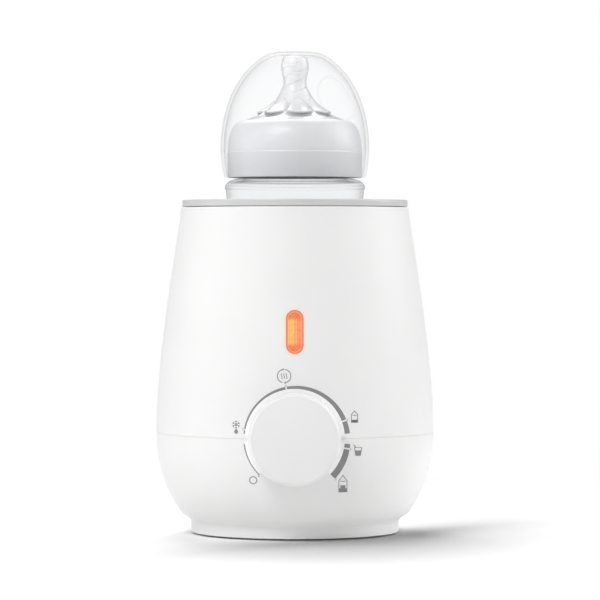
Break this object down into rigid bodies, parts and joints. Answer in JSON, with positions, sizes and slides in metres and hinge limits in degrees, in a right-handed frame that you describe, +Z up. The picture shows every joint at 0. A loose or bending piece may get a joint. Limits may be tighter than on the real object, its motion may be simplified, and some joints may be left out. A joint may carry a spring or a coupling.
{
  "type": "bottle warmer",
  "caption": "Tapered bottle warmer with a front dial, scale and lit window; a clear capped feeding bottle stands in its water chamber.",
  "frame": {"origin": "on the warmer's upright axis, at the surface that it stands on, 1 mm below the middle of its base plate", "axes": "+Z up; the dial and the lamp window face -Y; +X is to the right of someone who faces the dial"},
  "size_m": [0.1342, 0.1463, 0.2327],
  "materials": {
    "housing": "fine satin white polypropylene",
    "ring": "satin light grey plastic",
    "dial": "satin white plastic, slightly greyer than the housing",
    "liner": "satin off-white plastic",
    "plate": "spun stainless steel",
    "steel": "zinc plated and stainless steel",
    "element": "drawn aluminium sheath",
    "seal": "translucent silicone",
    "rubber": "grey thermoplastic rubber",
    "black": "black heat-resistant plastic",
    "board": "green solder mask",
    "lead_blue": "blue wire insulation",
    "lead_brown": "brown wire insulation",
    "collar": "white polypropylene with a soft gloss",
    "amber": "lit translucent amber lens",
    "lamp": "lit lamp",
    "clear_bottle": "clear polypropylene",
    "clear_dome": "clear moulded plastic",
    "silicone": "translucent silicone"
  },
  "bodies": {
    "warmer": {"upper_housing": "housing", "lower_housing": "housing", "top_ring": "ring", "water_chamber": "liner", "heating_plate": "plate", "chamber_seal": "seal", "plate_clamp_ring": "black", "heater_element": "element", "thermal_fuse": "element", "temperature_sensor": "steel", "sensor_bridge": "steel", "control_board": "board", "light_window": "amber", "light_guide": "housing", "base_plate": "housing", "cord_gland": "black", "terminal_block": "black", "clamp_screw_1": "steel", "clamp_screw_2": "steel", "clamp_screw_3": "steel", "housing_screw_1": "steel", "housing_screw_2": "steel", "housing_screw_3": "steel", "base_screw_1": "steel", "base_screw_2": "steel", "base_screw_3": "steel", "base_screw_4": "steel", "rubber_foot_1": "rubber", "rubber_foot_2": "rubber", "rubber_foot_3": "rubber", "rubber_foot_4": "rubber", "supply_wire_1": "lead_blue", "supply_wire_2": "lead_brown", "heater_wire_1": "lead_blue", "heater_wire_2": "lead_brown", "dial_seat": "housing", "rotary_control": "black", "board_screw_1": "steel", "board_screw_2": "steel", "lamp_1": "lamp", "lamp_2": "lamp"},
    "dial": {"dial_knob": "dial", "control_shaft": "steel"},
    "bottle": {"bottle_body": "clear_bottle"},
    "teat": {"teat": "silicone"},
    "collar": {"screw_collar": "collar"},
    "dome": {"dome_cap": "clear_dome"}
  },
  "joints": [
    {"name": "dial_turn", "type": "hinge", "parent": "warmer", "child": "dial", "pos_m": [0, -0.07, 0.0489], "axis": [0, 1, 0], "range_deg": [0, 270]},
    {"name": "bottle_lift", "type": "slide", "parent": "warmer", "child": "bottle", "axis": [0, 0, 1], "range_m": [0, 0.11]},
    {"name": "teat_rise", "type": "slide", "parent": "bottle", "child": "teat", "axis": [0, 0, 1], "range_m": [0, 0.00625]},
    {"name": "collar_turn", "type": "hinge", "parent": "teat", "child": "collar", "pos_m": [0, 0, 0.18], "axis": [0, 0, 1], "range_deg": [0, 450]},
    {"name": "cap_pull", "type": "slide", "parent": "collar", "child": "dome", "axis": [0, 0, 1], "range_m": [0, 0.07]}
  ],
  "couplings": [
    {"joint": "teat_rise", "follows": "collar_turn", "m_per_rad": 0.00079577}
  ]
}
